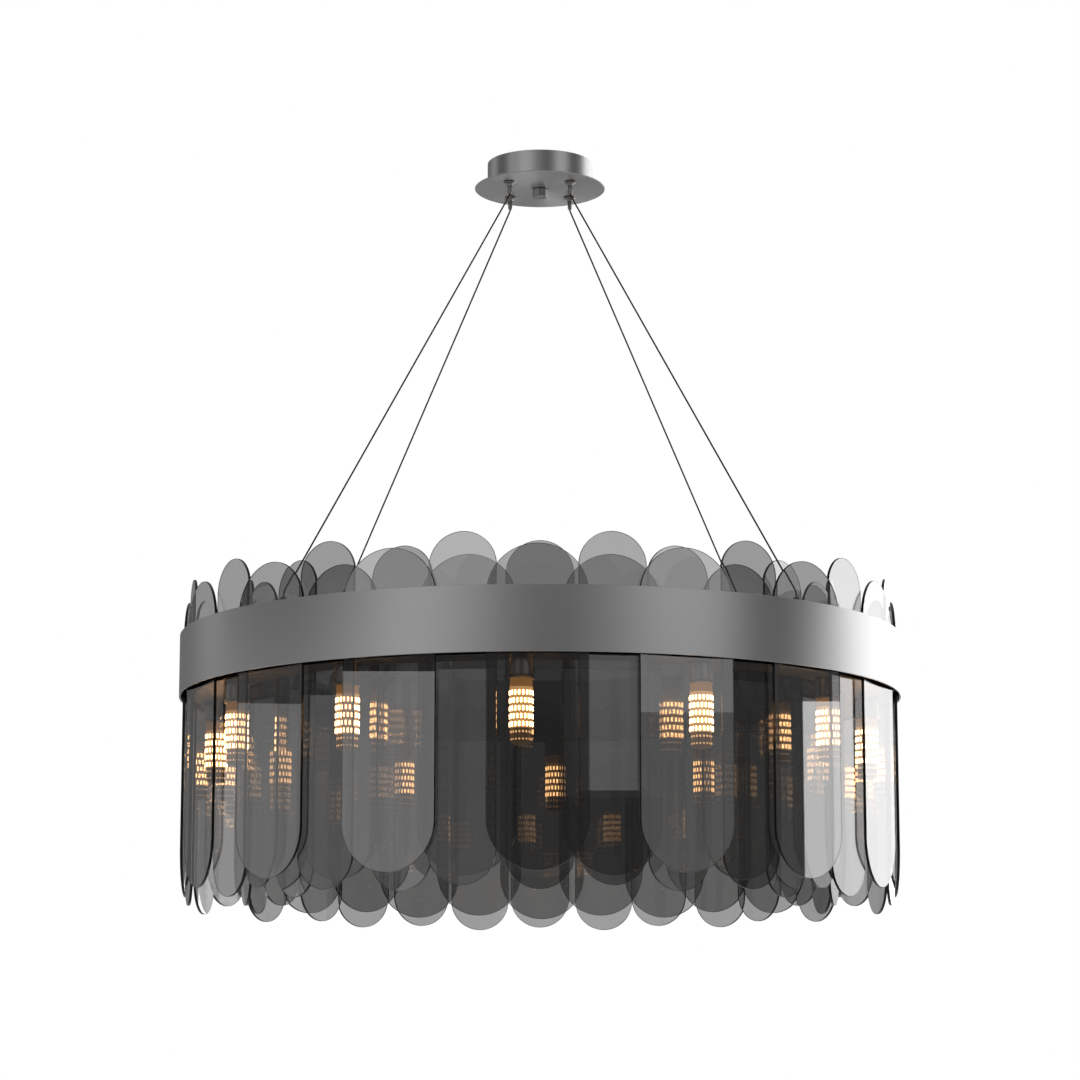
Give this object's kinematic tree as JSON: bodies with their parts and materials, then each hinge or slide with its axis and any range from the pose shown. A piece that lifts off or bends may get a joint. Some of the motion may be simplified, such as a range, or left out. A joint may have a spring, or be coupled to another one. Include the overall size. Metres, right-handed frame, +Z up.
{
  "type": "glass chandelier",
  "caption": "Round pendant chandelier: two rings of flat smoked-glass panes with round ends behind a plain steel band, lit by small LED bulbs and hung on wire cables from a ceiling canopy.",
  "frame": {"origin": "middle of the ceiling bracket's flat top face, where the fixture meets the ceiling", "axes": "+Z up, along the fixture's upright axis, towards the ceiling; -Y towards the front, +X to the right seen from the front"},
  "size_m": [0.8, 0.8, 0.851],
  "materials": {
    "brushed_steel": "brushed steel",
    "band_steel": "satin grey steel",
    "dark_steel": "dark bronze paint on steel",
    "cable_steel": "dark bronze stranded steel wire",
    "smoked_glass": "clear polished smoke-grey glass",
    "lit_bulb": null,
    "white_plastic": "white plastic"
  },
  "bodies": {
    "hanging_frame": {"ceiling_bracket": "dark_steel", "terminal_block": "white_plastic", "canopy_cup": "brushed_steel", "canopy_plate": "brushed_steel", "grip_front_right": "brushed_steel", "cable_front_right": "cable_steel", "grip_back_right": "brushed_steel", "cable_back_right": "cable_steel", "grip_back_left": "brushed_steel", "cable_back_left": "cable_steel", "grip_front_left": "brushed_steel", "cable_front_left": "cable_steel", "outer_band": "band_steel", "lamp_channel": "dark_steel", "channel_cover": "dark_steel", "outer_glass_01": "smoked_glass", "outer_glass_02": "smoked_glass", "outer_glass_03": "smoked_glass", "outer_glass_04": "smoked_glass", "outer_glass_05": "smoked_glass", "outer_glass_06": "smoked_glass", "outer_glass_07": "smoked_glass", "outer_glass_08": "smoked_glass", "outer_glass_09": "smoked_glass", "outer_glass_10": "smoked_glass", "outer_glass_11": "smoked_glass", "outer_glass_12": "smoked_glass", "outer_glass_13": "smoked_glass", "outer_glass_14": "smoked_glass", "outer_glass_15": "smoked_glass", "outer_glass_16": "smoked_glass", "inner_glass_1": "smoked_glass", "inner_glass_2": "smoked_glass", "inner_glass_3": "smoked_glass", "inner_glass_4": "smoked_glass", "inner_glass_5": "smoked_glass", "inner_glass_6": "smoked_glass", "inner_glass_7": "smoked_glass"},
    "cap_nut": {"cap_nut": "brushed_steel"},
    "nozzle_front_right": {"release_nozzle_front_right": "brushed_steel"},
    "nozzle_back_right": {"release_nozzle_back_right": "brushed_steel"},
    "nozzle_back_left": {"release_nozzle_back_left": "brushed_steel"},
    "nozzle_front_left": {"release_nozzle_front_left": "brushed_steel"},
    "bulb_01": {"led_bulb_01": "lit_bulb"},
    "bulb_02": {"led_bulb_02": "lit_bulb"},
    "bulb_03": {"led_bulb_03": "lit_bulb"},
    "bulb_04": {"led_bulb_04": "lit_bulb"},
    "bulb_05": {"led_bulb_05": "lit_bulb"},
    "bulb_06": {"led_bulb_06": "lit_bulb"},
    "bulb_07": {"led_bulb_07": "lit_bulb"},
    "bulb_08": {"led_bulb_08": "lit_bulb"},
    "bulb_09": {"led_bulb_09": "lit_bulb"},
    "bulb_10": {"led_bulb_10": "lit_bulb"},
    "bulb_11": {"led_bulb_11": "lit_bulb"},
    "bulb_12": {"led_bulb_12": "lit_bulb"}
  },
  "joints": [
    {"name": "cap_nut_turn", "type": "hinge", "parent": "hanging_frame", "child": "cap_nut", "pos_m": [0, 0, -0.0346], "axis": [0, 0, 1], "continuous": true},
    {"name": "nozzle_front_right_press", "type": "slide", "parent": "hanging_frame", "child": "nozzle_front_right", "axis": [0, 0, 1], "range_m": [0, 0.0025], "stiffness_N_per_m": 150, "springref_m": -0.002},
    {"name": "nozzle_back_right_press", "type": "slide", "parent": "hanging_frame", "child": "nozzle_back_right", "axis": [0, 0, 1], "range_m": [0, 0.0025], "stiffness_N_per_m": 150, "springref_m": -0.002},
    {"name": "nozzle_back_left_press", "type": "slide", "parent": "hanging_frame", "child": "nozzle_back_left", "axis": [0, 0, 1], "range_m": [0, 0.0025], "stiffness_N_per_m": 150, "springref_m": -0.002},
    {"name": "nozzle_front_left_press", "type": "slide", "parent": "hanging_frame", "child": "nozzle_front_left", "axis": [0, 0, 1], "range_m": [0, 0.0025], "stiffness_N_per_m": 150, "springref_m": -0.002},
    {"name": "bulb_01_turn", "type": "hinge", "parent": "hanging_frame", "child": "bulb_01", "pos_m": [-0.01883, -0.35926, -0.64], "axis": [0, 0, 1], "continuous": true},
    {"name": "bulb_02_turn", "type": "hinge", "parent": "hanging_frame", "child": "bulb_02", "pos_m": [0.16332, -0.32054, -0.64], "axis": [0, 0, 1], "continuous": true},
    {"name": "bulb_03_turn", "type": "hinge", "parent": "hanging_frame", "child": "bulb_03", "pos_m": [0.30171, -0.19593, -0.64], "axis": [0, 0, 1], "continuous": true},
    {"name": "bulb_04_turn", "type": "hinge", "parent": "hanging_frame", "child": "bulb_04", "pos_m": [0.35926, -0.01883, -0.64], "axis": [0, 0, 1], "continuous": true},
    {"name": "bulb_05_turn", "type": "hinge", "parent": "hanging_frame", "child": "bulb_05", "pos_m": [0.32054, 0.16332, -0.64], "axis": [0, 0, 1], "continuous": true},
    {"name": "bulb_06_turn", "type": "hinge", "parent": "hanging_frame", "child": "bulb_06", "pos_m": [0.19593, 0.30171, -0.64], "axis": [0, 0, 1], "continuous": true},
    {"name": "bulb_07_turn", "type": "hinge", "parent": "hanging_frame", "child": "bulb_07", "pos_m": [0.01883, 0.35926, -0.64], "axis": [0, 0, 1], "continuous": true},
    {"name": "bulb_08_turn", "type": "hinge", "parent": "hanging_frame", "child": "bulb_08", "pos_m": [-0.16332, 0.32054, -0.64], "axis": [0, 0, 1], "continuous": true},
    {"name": "bulb_09_turn", "type": "hinge", "parent": "hanging_frame", "child": "bulb_09", "pos_m": [-0.30171, 0.19593, -0.64], "axis": [0, 0, 1], "continuous": true},
    {"name": "bulb_10_turn", "type": "hinge", "parent": "hanging_frame", "child": "bulb_10", "pos_m": [-0.35926, 0.01883, -0.64], "axis": [0, 0, 1], "continuous": true},
    {"name": "bulb_11_turn", "type": "hinge", "parent": "hanging_frame", "child": "bulb_11", "pos_m": [-0.32054, -0.16332, -0.64], "axis": [0, 0, 1], "continuous": true},
    {"name": "bulb_12_turn", "type": "hinge", "parent": "hanging_frame", "child": "bulb_12", "pos_m": [-0.19593, -0.30171, -0.64], "axis": [0, 0, 1], "continuous": true}
  ]
}
